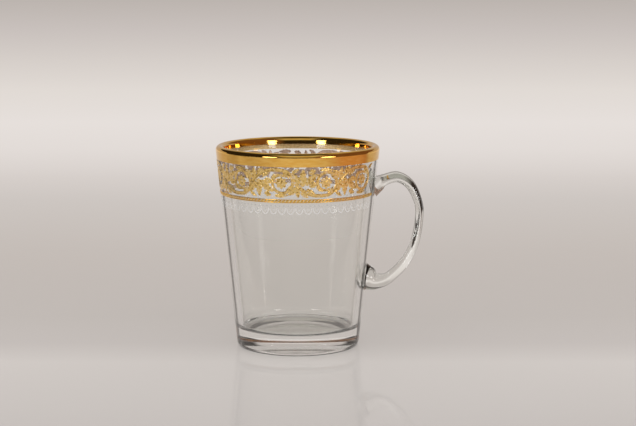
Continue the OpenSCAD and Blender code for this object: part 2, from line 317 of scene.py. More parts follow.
def handle_point(t, angle):
    """A point of the handle's skin."""
    x, z, half_t, half_w = handle_station(t)
    a = handle_station(t - HANDLE_STEP)
    b = handle_station(t + HANDLE_STEP)
    length = hypot(b[0] - a[0], b[1] - a[1])
    dx = (b[0] - a[0]) / length
    dz = (b[1] - a[1]) / length
    out = half_t * cos(angle)
    return (x - dz * out, half_w * sin(angle), z + dx * out)


def wall_crossing(angle, inside, outside):
    """Where one line along the handle crosses the outer wall."""
    for _ in range(CROSSING_HALVINGS):
        middle = (inside + outside) / 2
        x, y, z = handle_point(middle, angle)
        if hypot(x, y) < wall_r(z):
            inside = middle
        else:
            outside = middle
    return outside


def handle_rings():
    """Rings of points along the handle. The first and the last lie on the wall."""
    angles = [2 * pi * j / HANDLE_SIDES for j in range(HANDLE_SIDES)]
    last = len(HANDLE_SHARES) - 1
    starts = [wall_crossing(a, 0.0, CROSSING_REACH) for a in angles]
    ends = [wall_crossing(a, last, last - CROSSING_REACH) for a in angles]
    rings = []
    for i in range(HANDLE_RINGS + 1):
        s = i / HANDLE_RINGS
        rings.append([handle_point(t0 + (t1 - t0) * s, a) for a, t0, t1 in zip(angles, starts, ends)])
    return rings


def inside_loop(p, loop):
    """True if the flat point p lies inside the loop."""
    inside = False
    for a, b in zip(loop, loop[1:] + loop[:1]):
        if (a[1] > p[1]) != (b[1] > p[1]):
            if p[0] < a[0] + (b[0] - a[0]) * (p[1] - a[1]) / (b[1] - a[1]):
                inside = not inside
    return inside


def near_loop(p, loop, reach):
    """True if the flat point p lies within reach of the loop's edge."""
    for a, b in zip(loop, loop[1:] + loop[:1]):
        along = Vector((b[0] - a[0], b[1] - a[1]))
        offset = Vector((p[0] - a[0], p[1] - a[1]))
        share = min(max(offset.dot(along) / along.length_squared, 0.0), 1.0)
        if (offset - along * share).length < reach:
            return True
    return False


def joint_window(grid, loops):
    """Triangles of the wall round the joints, unrolled flat, with each joint's edge among their edges.

    grid holds the flat points of the window, row by row, and loops the two joints' edges. The result has the
    flat points, the triangles, the joint that each triangle lies in, or -1, and the origin of each point.
    """
    points = []
    keys = []
    last_row = len(grid) - 1
    last_column = len(grid[0]) - 1
    for j, row in enumerate(grid):
        for i, p in enumerate(row):
            border = j in (0, last_row) or i in (0, last_column)
            if border or not any(inside_loop(p, loop) or near_loop(p, loop, JOINT_CLEAR) for loop in loops):
                points.append(Vector(p))
                keys.append(("grid", j, i))
    edges = []
    for n, loop in enumerate(loops):
        first = len(points)
        size = len(loop)
        middle = (sum(p[0] for p in loop) / size, sum(p[1] for p in loop) / size)
        for k, p in enumerate(loop):
            points.append(Vector(p))
            keys.append(("edge", n, k))
            edges.append((first + k, first + (k + 1) % size))
        for share in JOINT_RINGS:
            for k, p in enumerate(loop):
                points.append(Vector([m + (c - m) * share for c, m in zip(p, middle)]))
                keys.append(("joint", n, (share, k)))
        points.append(Vector(middle))
        keys.append(("joint", n, (0, 0)))
    flat, _, faces, origin, _, _ = delaunay_2d_cdt(points, edges, [], ALL_TRIANGLES, TINY)
    joint_of = []
    for face in faces:
        centre = sum((flat[i] for i in face), Vector((0, 0))) / len(face)
        inside = [n for n, loop in enumerate(loops) if inside_loop(centre, loop)]
        joint_of.append(inside[0] if inside else -1)
    return flat, faces, joint_of, [keys[ids[0]] for ids in origin]


def make_glass(glass, inside_glass, under_glass, handle_glass, joint):
    """The tumbler and the handle. Their glass is one where they are fused, so the joint's faces are clear."""
    outline, ring_row, wall_rows, inside_row = tumbler_outline()
    columns = TUMBLER_COLUMNS
    step = 2 * pi / columns
    points = [(0.0, 0.0, outline[0][1])]
    for r, z in outline[1:-1]:
        points += [(r * cos(step * i), r * sin(step * i), z) for i in range(columns)]
    points.append((0.0, 0.0, outline[-1][1]))

    def ring(j, i):
        return 1 + (j - 1) * columns + i % columns

    window_rows = [j for j in wall_rows if WINDOW_LOW_Z <= outline[j][1] <= WINDOW_HIGH_Z]
    window = set(window_rows[:-1])
    row_slots = [HOLLOW_SLOT if j < ring_row else OUTSIDE_SLOT for j in range(inside_row)]
    row_slots += [INSIDE_SLOT] * (len(outline) - inside_row)
    faces = []
    face_slots = []
    for i in range(columns):
        faces.append((0, ring(1, i + 1), ring(1, i)))
        faces.append((len(points) - 1, ring(len(outline) - 2, i), ring(len(outline) - 2, i + 1)))
        face_slots += [HOLLOW_SLOT, INSIDE_SLOT]
        in_window = (i + WINDOW_COLUMNS) % columns < 2 * WINDOW_COLUMNS
        for j in range(1, len(outline) - 2):
            if not (in_window and j in window):
                faces.append((ring(j, i), ring(j, i + 1), ring(j + 1, i + 1), ring(j + 1, i)))
                face_slots.append(row_slots[j])

    # The wall round the joints, unrolled at one radius
    rings = handle_rings()
    unroll_r = wall_r((WINDOW_LOW_Z + WINDOW_HIGH_Z) / 2)
    loops = []
    for row in (rings[0], rings[-1]):
        loops.append([(atan2(y, x) * unroll_r, z) for x, y, z in row])
    span = range(-WINDOW_COLUMNS, WINDOW_COLUMNS + 1)
    grid = [[(i * step * unroll_r, outline[j][1]) for i in span] for j in window_rows]
    flat, triangles, joint_of, keys = joint_window(grid, loops)
    index = []
    for p, key in zip(flat, keys):
        if key[0] == "grid":
            index.append(ring(window_rows[key[1]], key[2] - WINDOW_COLUMNS))
        else:
            index.append(len(points))
            points.append(on_wall(p[0] / unroll_r, p[1], 0.0))
    for triangle, n in zip(triangles, joint_of):
        faces.append(tuple(index[i] for i in triangle))
        face_slots.append(OUTSIDE_SLOT if n < 0 else JOINT_SLOT)
    points, faces = used_only(points, faces)
    materials = [glass, joint, inside_glass, under_glass]
    make_piece("tumbler_glass", points, faces, materials, ["glass_tumbler"], face_slots)

    # The handle's skin, closed at both ends by the joint's own triangles
    points = [p for row in rings for p in row]
    faces = strip_faces(HANDLE_SIDES, HANDLE_RINGS)[1:-1]
    face_slots = [OUTSIDE_SLOT] * len(faces)
    index = {}
    for number, (p, key) in enumerate(zip(flat, keys)):
        if key[0] == "edge":
            index[number] = (HANDLE_RINGS * HANDLE_SIDES if key[1] else 0) + key[2]
        elif key[0] == "joint":
            index[number] = len(points)
            points.append(on_wall(p[0] / unroll_r, p[1], 0.0))
    for triangle, n in zip(triangles, joint_of):
        if n >= 0:
            faces.append(tuple(index[i] for i in reversed(triangle)))
            face_slots.append(JOINT_SLOT)
    make_piece("handle_glass", points, faces, [handle_glass, joint], ["handle"], face_slots)


# Gilding

# Share of a film's height at its edge, and of its width that an edge may take
EDGE_RISE = 0.4
EDGE_WIDTH_SHARE = 0.25
BAND_ROWS = 8
LIP_GOLD_STEPS = 28
# Material slots of a fired layer
FACE_SLOT = 0
UNDER_SLOT = 1


def band_outline(low_z, high_z, proud):
    """A film on the outer wall with softened edges, as (radius, height) points."""
    edge = min(proud, (high_z - low_z) * EDGE_WIDTH_SHARE)
    places = [
        (low_z, -FIRED_DEPTH), (low_z, proud * EDGE_RISE), (low_z + edge, proud), (high_z - edge, proud),
        (high_z, proud * EDGE_RISE), (high_z, -FIRED_DEPTH),
    ]
    return [(wall_r(z) + h * cos(HALF_TAPER), z - h * sin(HALF_TAPER)) for z, h in places]


def make_gilding(gold, under):
    """The gold outside, over and inside the lip. The three films meet flush."""
    join_z = LIP_Z - LIP_R * sin(HALF_TAPER)
    heights = [OUTER_BAND_Z + (join_z - OUTER_BAND_Z) * i / BAND_ROWS for i in range(BAND_ROWS + 1)]
    skin = [(wall_r(z) + GOLD_T * cos(HALF_TAPER), z - GOLD_T * sin(HALF_TAPER)) for z in heights]
    back = [(wall_r(z) - FIRED_DEPTH, z) for z in (heights[-1], heights[0])]
    points, faces = revolve(skin + back, TUMBLER_COLUMNS)
    size = len(skin) + len(back)
    slots = [UNDER_SLOT if n % size == len(skin) else FACE_SLOT for n in range(len(faces))]
    make_piece("outer_band_gold", points, faces, [gold, under], ["outer_gold_band"], slots)

    centre = (LIP_X, LIP_Z)
    skin = arc_points(centre, LIP_R + GOLD_T, -HALF_TAPER, pi - HALF_TAPER, LIP_GOLD_STEPS)
    back = arc_points(centre, LIP_R - FIRED_DEPTH, pi - HALF_TAPER, -HALF_TAPER, LIP_GOLD_STEPS)
    points, faces = revolve(skin + back, TUMBLER_COLUMNS)
    make_piece("lip_gold", points, faces, [gold], ["lip_gilding"])

    low_z = GLASS_H - INNER_BAND_DROP
    heights = [INNER_TOP[1] + (low_z - INNER_TOP[1]) * i / BAND_ROWS for i in range(BAND_ROWS + 1)]
    skin = [(inner_r(z) - GOLD_T, z) for z in heights]
    back = [(inner_r(z) + FIRED_DEPTH, z) for z in (heights[-1], heights[0])]
    points, faces = revolve(skin + back, TUMBLER_COLUMNS)
    make_piece("inner_band_gold", points, faces, [gold], ["inner_gold_band"])


# Scroll frieze. Flat places are in shares of half the frieze's height, from the middle of a cell.

CELL_SHARE = 3.02
STEM_LOW_SHARE = 0.85
STEM_SIDE_SHARE = 0.77
STEM_END_SHARE = 0.47
STEM_CLEAR_SHARE = 0.16
STEM_LEAD_SHARE = 0.07
STEM_WIDTH_SHARES = (0.25, 0.17)
# Share of its width that a stem has at its tip, and how fast it widens from there
STEM_TIP_SHARE = 0.25
STEM_TIP_SLOPE = 14
# Angles in degrees about the spiral's middle: a stem's start, lead and curl, and what the first one lacks
STEM_BASE_ANGLE = 180
STEM_LEAD_ANGLE = 90.0
STEM_CURL_ANGLE = 400.0
FIRST_STEM_ANGLE = 24.0
STEM_STEPS = 120
STEM_START_SHARE = CELL_SHARE - STEM_SIDE_SHARE - STEM_CLEAR_SHARE
# Leaves: x, y, length and width as shares, the angle at the base and the bend in degrees, and the lobes
LEAF_SHARES = [
    (-1.60, -0.26, 1.20, 0.50, 90, -4, 5), (-1.86, -0.10, 0.98, 0.42, 106, 40, 4),
    (-1.36, -0.18, 1.16, 0.46, 66, -50, 5), (-1.16, -0.24, 0.68, 0.36, 30, -46, 3),
    (-2.02, -0.26, 0.80, 0.38, -114, -46, 4), (-1.96, -0.40, 0.58, 0.36, -82, -4, 3),
    (-1.66, -0.58, 0.62, 0.32, -56, 34, 3), (-0.48, 0.82, 0.96, 0.24, 10, -22, 4),
    (-0.64, -0.24, 0.62, 0.22, -62, 56, 3), (0.10, -0.66, 0.60, 0.18, 12, 66, 3),
    (0.62, 0.18, 0.46, 0.17, 108, 60, 3), (-1.14, 0.56, 0.52, 0.36, 58, -56, 3),
    (-1.36, -0.44, 0.68, 0.22, -14, -24, 3), (0.74, -0.66, 0.56, 0.24, -34, 4, 3),
]
LEAF_STEPS_PER_LOBE = 8
# Form of a leaf: powers that round it and its lobes, then width and height at a notch and what a lobe adds
LEAF_FULLNESS = 0.72
LEAF_FILL_POWER = 0.8
LEAF_LOBE_POWER = 0.6
LEAF_NOTCH_WIDTH = 0.7
LEAF_LOBE_WIDTH = 0.38
LEAF_NOTCH_RISE = 0.6
LEAF_LOBE_RISE = 0.25
LEAF_TIP_WIDTH = 0.012
ROSETTE_SHARE = 0.40
PETALS = 8
STEPS_PER_PETAL = 8
# Where the notches between petals lie, and the rosette's rings: share of its edge and of its height
PETAL_NOTCH_SHARE = 0.72
ROSETTE_RINGS = [(1.0, 0.35), (0.86, 0.9), (0.6, 0.75), (0.42, 0.4), (0.36, 0.45), (0.28, 0.95)]


def frieze_place(k, x, y, h):
    """A place of the frieze's cell k on the wall. Every second cell is upside down."""
    azimuth = FIRST_AZIMUTH + ORNAMENT_ARC * (k + 0.5 + x / CELL_SHARE) / SCROLLS
    return on_wall(azimuth, FRIEZE_MID_Z + cell_side(k) * y * FRIEZE_H / 2, h)


def cell_side(k):
    """1 for an upright cell and -1 for one that is upside down."""
    return 1 if k % 2 == 0 else -1


def stem_radius(phi):
    """Distance of the stem from its spiral's middle at the angle phi, in degrees."""
    t = (phi - STEM_BASE_ANGLE) / STEM_LEAD_ANGLE
    if t < 1:
        lead = STEM_START_SHARE - STEM_LOW_SHARE - STEM_LEAD_SHARE
        return STEM_LOW_SHARE + STEM_LEAD_SHARE * (1 - t) + lead * (1 - t) ** 2
    curled = (phi - STEM_BASE_ANGLE - STEM_LEAD_ANGLE) / STEM_CURL_ANGLE
    return STEM_LOW_SHARE + (STEM_END_SHARE - STEM_LOW_SHARE) * curled


def stem_flat(k):
    """Stations (x, y, width, height) of the stem in cell k."""
    first = FIRST_STEM_ANGLE if k == 0 else 0
    stations = []
    for i in range(STEM_STEPS + 1):
        t = i / STEM_STEPS
        phi = STEM_BASE_ANGLE + first + (STEM_LEAD_ANGLE + STEM_CURL_ANGLE - first) * t
        r = stem_radius(phi)
        width = STEM_WIDTH_SHARES[0] + (STEM_WIDTH_SHARES[1] - STEM_WIDTH_SHARES[0]) * t
        width *= min(1.0, STEM_TIP_SHARE + STEM_TIP_SLOPE * (1 - t))
        stations.append((r * cos(radians(phi)), r * sin(radians(phi)), width, 1.0))
    return stations


def leaf_flat(shares):
    """Stations (x, y, width, height) of a lobed leaf that bends evenly along its length."""
    x, y, length, width, angle, bend, lobes = shares
    steps = lobes * LEAF_STEPS_PER_LOBE
    stations = []
    for i in range(steps + 1):
        t = i / steps
        lobe = abs(sin(pi * lobes * t)) ** LEAF_LOBE_POWER
        fill = max(sin(pi * t ** LEAF_FULLNESS), 0.0) ** LEAF_FILL_POWER
        fill *= LEAF_NOTCH_WIDTH + LEAF_LOBE_WIDTH * lobe
        stations.append((x, y, width * fill + LEAF_TIP_WIDTH, LEAF_NOTCH_RISE + LEAF_LOBE_RISE * lobe))
        a = radians(angle + bend * (i + 0.5) / steps)
        x += length / steps * cos(a)
        y += length / steps * sin(a)
    return stations


# Section across a strip: share of the half width and of the relief's height
STEM_SECTION = [
    (1, 0.3), (0.86, 0.95), (0.58, 1.0), (0.42, 0.5), (-0.42, 0.5), (-0.58, 1.0), (-0.86, 0.95), (-1, 0.3),
]
LEAF_SECTION = [(1, 0.2), (0.62, 0.95), (0.22, 0.85), (0, 0.45), (-0.22, 0.85), (-0.62, 0.95), (-1, 0.2)]


def frieze_strip(k, stations, section):
    """Points and faces of a closed strip that follows flat stations in cell k, and its faces' slots."""
    points = []
    ends = len(stations) - 1
    for i, (x, y, width, height) in enumerate(stations):
        a = stations[max(i - 1, 0)]
        b = stations[min(i + 1, ends)]
        length = hypot(b[0] - a[0], b[1] - a[1])
        side_x = -(b[1] - a[1]) / length * width / 2 * cell_side(k)
        side_y = (b[0] - a[0]) / length * width / 2 * cell_side(k)
        points.append(frieze_place(k, x + side_x, y + side_y, -FIRED_DEPTH))
        for share, rise in section:
            points.append(frieze_place(k, x + side_x * share, y + side_y * share, RELIEF_H * rise * height))
        points.append(frieze_place(k, x - side_x, y - side_y, -FIRED_DEPTH))
    size = len(section) + 2
    slots = [UNDER_SLOT if n % size == size - 1 else FACE_SLOT for n in range(ends * size)]
    return points, strip_faces(size, ends), [FACE_SLOT] + slots + [FACE_SLOT]


def make_shells(name, shells, materials, nodes):
    """A mesh piece from many closed shells, each given as its points, its faces and their slots."""
    points = []
    faces = []
    slots = []
    for shell_points, shell_faces, shell_slots in shells:
        first = len(points)
        points += shell_points
        faces += [tuple(first + i for i in face) for face in shell_faces]
        slots += shell_slots
    make_piece(name, points, faces, materials, nodes, slots)


def wall_button(place, outline, rings, height):
    """A domed shell on the wall. place(x, y, h) puts a flat point there, and outline is its edge."""
    size = len(outline)
    points = [place(x, y, -FIRED_DEPTH) for x, y in outline]
    for share, rise in rings:
        points += [place(x * share, y * share, height * rise) for x, y in outline]
    points.append(place(0, 0, height))
    points.append(place(0, 0, -FIRED_DEPTH))
    faces = []
    slots = []
    for j in range(size):
        k = (j + 1) % size
        for n in range(len(rings)):
            faces.append((n * size + j, n * size + k, (n + 1) * size + k, (n + 1) * size + j))
            slots.append(FACE_SLOT)
        top = len(rings) * size
        faces.append((top + j, top + k, len(points) - 2))
        slots.append(FACE_SLOT)
        faces.append((k, j, len(points) - 1))
        slots.append(UNDER_SLOT)
    return points, faces, slots


def rosette(k):
    """The flower in the middle of the spiral of cell k."""
    steps = STEPS_PER_PETAL * PETALS
    outline = []
    for i in range(steps):
        a = 2 * pi * i / steps
        r = ROSETTE_SHARE * (PETAL_NOTCH_SHARE + (1 - PETAL_NOTCH_SHARE) * abs(cos(PETALS * a / 2)))
        outline.append((r * cos(a), r * sin(a)))
    side = cell_side(k)
    return wall_button(lambda x, y, h: frieze_place(k, x, y * side, h), outline, ROSETTE_RINGS, RELIEF_H)


def make_frieze(gold, under):
    """Stems, leaves and rosettes of the frieze."""
    materials = [gold, under]
    cells = range(SCROLLS)
    stems = [frieze_strip(k, stem_flat(k), STEM_SECTION) for k in cells]
    make_shells("stem_relief", stems, materials, ["scroll_stems"])
    leaves = []
    for k in cells:
        for shares in LEAF_SHARES:
            if k > 0 or shares[0] > -CELL_SHARE / 2:
                leaves.append(frieze_strip(k, leaf_flat(shares), LEAF_SECTION))
    make_shells("leaf_relief", leaves, materials, ["scroll_leaves"])
    make_shells("rosette_relief", [rosette(k) for k in cells], materials, ["scroll_rosettes"])


# Rope line and lace border

STRAND_SLANT_SHARE = 0.5
STRAND_WIDTH_SHARE = 0.9
STRAND_CLEAR_SHARE = 0.04
END_BEAD_SHARE = 0.85
DOT_ROW_SHARE = 0.08
CUSP_SHARE = 0.3
BELLY_SHARE = 0.95
DIAMOND_SHARE = 0.5
DIAMOND_SIZE_SHARES = (0.16, 0.15)
DOT_RADIUS_SHARE = 0.07
DOTS_PER_SCALLOP = 2
SCALLOP_WIDTH_SHARE = 0.92
ROPE_COLUMNS = 264
STRAND_SIDES = 16
BEAD_SIDES = 20
SCALLOP_STEPS = 16
DOT_SIDES = 12
# Rings of a small dome: share of its edge and of its height
BUTTON_RINGS = [(1.0, 0.4), (0.8, 0.85), (0.4, 0.98)]


def at_wall(azimuth, z):
    """A function that puts flat millimetres about a place onto the wall."""
    r = wall_r(z)
    return lambda x, y, h: on_wall(azimuth + x / r, z + y, h)


def round_outline(r, sides):
    """A round edge."""
    return [(r * cos(2 * pi * i / sides), r * sin(2 * pi * i / sides)) for i in range(sides)]


def button_row(count, z, outline, height):
    """Small domed shells in an even row round the wall."""
    pitch = ORNAMENT_ARC / count
    places = [at_wall(FIRST_AZIMUTH + pitch * (n + 0.5), z) for n in range(count)]
    return [wall_button(place, outline, BUTTON_RINGS, height) for place in places]


def make_rope(gold, under):
    """Two thin rails with slanted strands between them, and a bead at each end."""
    materials = [gold, under]
    rails = []
    for low_z in (ROPE_LOW_Z, ROPE_TOP_Z - RAIL_H):
        outline = band_outline(low_z, low_z + RAIL_H, GOLD_T)
        points, faces = revolve(outline, ROPE_COLUMNS, FIRST_AZIMUTH, ORNAMENT_ARC)
        rails.append((points, faces, [FACE_SLOT] * len(faces)))
    make_shells("rope_rail_gold", rails, materials, ["rope_rails"])
    mid_z = (ROPE_TOP_Z + ROPE_LOW_Z) / 2
    pitch = ORNAMENT_ARC / STRANDS
    half_h = (ROPE_H / 2 - RAIL_H) * (1 - STRAND_CLEAR_SHARE)
    slant = pitch * wall_r(mid_z) * STRAND_SLANT_SHARE / 2
    half_w = pitch * wall_r(mid_z) * STRAND_WIDTH_SHARE / 2
    outline = []
    for i in range(STRAND_SIDES):
        a = 2 * pi * i / STRAND_SIDES
        outline.append((half_w * cos(a) + slant * sin(a), half_h * sin(a)))
    strands = button_row(STRANDS, mid_z, outline, RELIEF_H)
    bead_step = ROPE_H / 2 / wall_r(mid_z)
    bead = round_outline(ROPE_H / 2 * END_BEAD_SHARE, BEAD_SIDES)
    for azimuth in (FIRST_AZIMUTH - bead_step, FIRST_AZIMUTH + ORNAMENT_ARC + bead_step):
        strands.append(wall_button(at_wall(azimuth, mid_z), bead, BUTTON_RINGS, RELIEF_H))
    make_shells("rope_strand_gold", strands, materials, ["rope_strands"])


def make_lace(etch, faint_etch):
    """Scallops with a diamond in each, under a row of dots."""
    angle = ORNAMENT_ARC / SCALLOPS
    cusp_z = LACE_TOP_Z - LACE_H * CUSP_SHARE
    sag = LACE_H * (BELLY_SHARE - CUSP_SHARE)
    half = angle * SCALLOP_WIDTH_SHARE / 2
    in_share = 1 - LACE_LINE / wall_r(cusp_z) / half
    scallops = []
    for n in range(SCALLOPS):
        azimuth = FIRST_AZIMUTH + angle * (n + 0.5)
        points = []
        for i in range(SCALLOP_STEPS + 1):
            t = pi * i / SCALLOP_STEPS
            inner = (azimuth - half * in_share * cos(t), cusp_z - (sag - LACE_LINE) * sin(t))
            outer = (azimuth - half * cos(t), cusp_z - sag * sin(t))
            middle = ((inner[0] + outer[0]) / 2, (inner[1] + outer[1]) / 2)
            points.append(on_wall(*inner, -FIRED_DEPTH))
            points.append(on_wall(*inner, LACE_RELIEF_H * EDGE_RISE))
            points.append(on_wall(*middle, LACE_RELIEF_H))
            points.append(on_wall(*outer, LACE_RELIEF_H * EDGE_RISE))
            points.append(on_wall(*outer, -FIRED_DEPTH))
        faces = strip_faces(len(points) // (SCALLOP_STEPS + 1), SCALLOP_STEPS)
        scallops.append((points, faces, [FACE_SLOT] * len(faces)))
    make_shells("lace_scallop_etch", scallops, [etch], ["lace_scallops"])
    faint = [faint_etch, faint_etch]
    diamond_z = LACE_TOP_Z - LACE_H * DIAMOND_SHARE
    across, up = (LACE_H * share for share in DIAMOND_SIZE_SHARES)
    outline = [(across, 0), (0, up), (-across, 0), (0, -up)]
    diamonds = button_row(SCALLOPS, diamond_z, outline, LACE_RELIEF_H)
    make_shells("lace_diamond_etch", diamonds, faint, ["lace_diamonds"])
    dot_z = LACE_TOP_Z - LACE_H * DOT_ROW_SHARE
    dot = round_outline(LACE_H * DOT_RADIUS_SHARE, DOT_SIDES)
    dots = button_row(SCALLOPS * DOTS_PER_SCALLOP, dot_z, dot, LACE_RELIEF_H)
    make_shells("lace_dot_etch", dots, faint, ["lace_dots"])


# Materials

# Detail of a noise, unless another is given, and the part of its range that is used
NOISE_DETAIL = 3.0
NOISE_SPAN = (0.3, 0.7)


class Nodes:
    """The node tree of a material or a world, with short ways to add and link nodes."""

    def __init__(self, owner, output="ShaderNodeOutputMaterial"):
        owner.use_nodes = True
        self.owner = owner
        self.tree = owner.node_tree
        self.tree.nodes.clear()
        self.output = self.tree.nodes.new(output)

    def add(self, kind, **inputs):
        node = self.tree.nodes.new(kind)
        for key, value in inputs.items():
            node.inputs[key.replace("_", " ")].default_value = value
        return node

    def link(self, source, target):
        self.tree.links.new(source, target)

    def end(self, shader):
        self.link(shader, self.output.inputs["Surface"])
        return self.owner

    def ramp(self, factor, stops):
        node = self.tree.nodes.new("ShaderNodeValToRGB")
        elements = node.color_ramp.elements
        while len(elements) < len(stops):
            elements.new(position=0.5)
        for element, (position, colour) in zip(elements, stops):
            element.position = position
            element.color = (*colour, 1.0)
        self.link(factor, node.inputs["Fac"])
        return node.outputs["Color"]

    def range(self, value, low, high, to_low, to_high):
        node = self.tree.nodes.new("ShaderNodeMapRange")
        for name, number in zip(("From Min", "From Max", "To Min", "To Max"), (low, high, to_low, to_high)):
            node.inputs[name].default_value = number
        self.link(value, node.inputs["Value"])
        return node.outputs["Result"]

    def noise(self, scale, detail=NOISE_DETAIL, stretch=(1, 1, 1)):
        place = self.add("ShaderNodeTexCoord")
        mapping = self.add("ShaderNodeMapping")
        mapping.inputs["Scale"].default_value = stretch
        self.link(place.outputs["Object"], mapping.inputs["Vector"])
        node = self.add("ShaderNodeTexNoise", Scale=scale, Detail=detail)
        self.link(mapping.outputs["Vector"], node.inputs["Vector"])
        return node.outputs["Fac"]

    def math(self, operation, a, b=0.0):
        node = self.add("ShaderNodeMath")
        node.operation = operation
        for value, target in zip((a, b), node.inputs):
            if isinstance(value, float):
                target.default_value = value
            else:
                self.link(value, target)
        return node.outputs["Value"]

    def mix(self, factor, first, second):
        node = self.add("ShaderNodeMixShader")
        self.link(factor, node.inputs[0])
        self.link(first, node.inputs[1])
        self.link(second, node.inputs[2])
        return node.outputs["Shader"]

    def bump(self, height, strength, distance):
        node = self.add("ShaderNodeBump", Strength=strength, Distance=distance)
        self.link(height, node.inputs["Height"])
        return node.outputs["Normal"]


# A thin painted dark rim, painted shade where the glass turns away: how far it has turned, from 0 face on to
# 1 edge on
RIM_TURNS = (0.67, 0.73, 0.77, 0.83)
PAINTED_RIM_SHADE = (0.035, 0.032, 0.028)
INSIDE_PAINTED_RIM_SHADE = (0.7, 0.68, 0.65)
# Roughness from low to high: fire-polished glass, and the hollow of the underside, left by the mould
POLISHED = (0.0, 0.012)
STIPPLED = (0.06, 0.1)
GLASS_IOR = 1.52
# Scale of the noise in the polish, then the waves in the face of the glass, which are long up the wall
POLISH_SCALE = 60.0
WAVE_SCALE = 90.0
WAVE_DETAIL = 2.0
WAVE_STRETCH = (1, 1, 0.25)
WAVE_DEPTH = 0.0004
WALL_WAVE = 0.1
HANDLE_WAVE = 0.02
# What the glass lets through in a shadow
SHADOW_TINT = (0.93, 0.935, 0.93)


def glass_material(name, tint, rim_shade, wave, roughness=POLISHED):
    """Clear pressed glass with a thin painted dark rim of shade, faint waves and shadows that let the light
    through.
    """
    nodes = Nodes(bpy.data.materials.new(name))
    glass = nodes.add("ShaderNodeBsdfPrincipled", IOR=GLASS_IOR, Transmission_Weight=1.0)
    # Painted shade: the colour turns to the rim's shade where the glass is seen edge on
    turned = nodes.add("ShaderNodeLayerWeight", Blend=0.5).outputs["Facing"]
    rim = nodes.ramp(turned, list(zip(RIM_TURNS, (tint, rim_shade, rim_shade, tint))))
    nodes.link(rim, glass.inputs["Base Color"])
    polish = nodes.range(nodes.noise(POLISH_SCALE), *NOISE_SPAN, *roughness)
    nodes.link(polish, glass.inputs["Roughness"])
    waves = nodes.noise(WAVE_SCALE, WAVE_DETAIL, WAVE_STRETCH)
    nodes.link(nodes.bump(waves, wave, WAVE_DEPTH), glass.inputs["Normal"])
    clear = nodes.add("ShaderNodeBsdfTransparent", Color=(*SHADOW_TINT, 1))
    path = nodes.add("ShaderNodeLightPath")
    passing = nodes.math("MAXIMUM", path.outputs["Is Shadow Ray"], path.outputs["Is Diffuse Ray"])
    return nodes.end(nodes.mix(passing, glass.outputs["BSDF"], clear.outputs["BSDF"]))


def joint_material():
    """The fused joint, where the glass of the handle runs on into the wall."""
    nodes = Nodes(bpy.data.materials.new("fused_joint"))
    return nodes.end(nodes.add("ShaderNodeBsdfTransparent").outputs["BSDF"])


# Where along the noise the tones of a gold begin and end
TONE_SPREAD = (0.35, 0.65)
# Scales of tone and polish as shares of the grain's, detail of tone and grain, and the grain's strength
TONE_GRAIN = 0.35
POLISH_GRAIN = 0.6
TONE_DETAIL = 4.0
GRAIN_DETAIL = 2.0
GRAIN_STRENGTH = 0.5


def gold_material(name, tones, smooth, rough, grain, depth, stretch=(1, 1, 1), metallic=1.0):
    """Fired gold: close tones from deep to pale, uneven polish and a fine grain."""
    nodes = Nodes(bpy.data.materials.new(name))
    metal = nodes.add("ShaderNodeBsdfPrincipled", Metallic=metallic)
    low, high = TONE_SPREAD
    stops = [(low + (high - low) * i / (len(tones) - 1), tone) for i, tone in enumerate(tones)]
    toned = nodes.ramp(nodes.noise(grain * TONE_GRAIN, TONE_DETAIL, stretch), stops)
    nodes.link(toned, metal.inputs["Base Color"])
    polish = nodes.noise(grain * POLISH_GRAIN, NOISE_DETAIL, stretch)
    nodes.link(nodes.range(polish, *NOISE_SPAN, smooth, rough), metal.inputs["Roughness"])
    relief = nodes.noise(grain, GRAIN_DETAIL, stretch)
    nodes.link(nodes.bump(relief, GRAIN_STRENGTH, depth), metal.inputs["Normal"])
    return nodes.end(metal.outputs["BSDF"])


# Etching: its tones, the scales of the noises for tone, cover and grain, and the grain's strength and depth
ETCH_DEEP = (0.78, 0.77, 0.76)
ETCH_PALE = (0.93, 0.92, 0.91)
ETCH_TONE_SCALE = 2500.0
ETCH_COVER_SCALE = 900.0
ETCH_GRAIN_SCALE = 5000.0
ETCH_GRAIN_STRENGTH = 0.2
ETCH_GRAIN_DEPTH = 0.00002


def etch_material(name, thin, thick):
    """Etched white: a frosted skin, thin to thick, that lets most of the glass show."""
    nodes = Nodes(bpy.data.materials.new(name))
    skin = nodes.add("ShaderNodeBsdfPrincipled", Roughness=0.85)
    toned = nodes.ramp(nodes.noise(ETCH_TONE_SCALE), list(zip(NOISE_SPAN, (ETCH_DEEP, ETCH_PALE))))
    nodes.link(toned, skin.inputs["Base Color"])
    cover = nodes.range(nodes.noise(ETCH_COVER_SCALE), *NOISE_SPAN, thin, thick)
    nodes.link(cover, skin.inputs["Alpha"])
    grain = nodes.bump(nodes.noise(ETCH_GRAIN_SCALE), ETCH_GRAIN_STRENGTH, ETCH_GRAIN_DEPTH)
    nodes.link(grain, skin.inputs["Normal"])
    return nodes.end(skin.outputs["BSDF"])


# Stage: a pale sweep, two soft boxes and a dim room. The sweep's sizes are in millimetres.

SWEEP_FRONT = -1800.0
SWEEP_BACK = 900.0
SWEEP_BEND = 300.0
SWEEP_TOP = 450.0
SWEEP_HALF_W = 1800.0
BEND_STEPS = 40
# Painted light of the glowing sweep along its run, floor first: run in millimetres, then the colour
SWEEP_PAINTED_LIGHT = [
    (-160, (0.55, 0.51, 0.48)), (-40, (0.59, 0.55, 0.515)), (60, (0.53, 0.48, 0.45)),
    (230, (0.55, 0.50, 0.465)), (490, (0.61, 0.565, 0.535)), (620, (0.67, 0.62, 0.59)),
    (715, (0.76, 0.71, 0.68)), (780, (0.79, 0.74, 0.71)), (850, (0.75, 0.70, 0.66)),
    (906, (0.67, 0.62, 0.585)), (960, (0.58, 0.53, 0.505)), (1010, (0.50, 0.455, 0.425)),
]
# Run, in metres, over which the sweep turns from a lit board to its glow of painted light
PAINTED_GLOW_RUN = (0.06, 0.3)
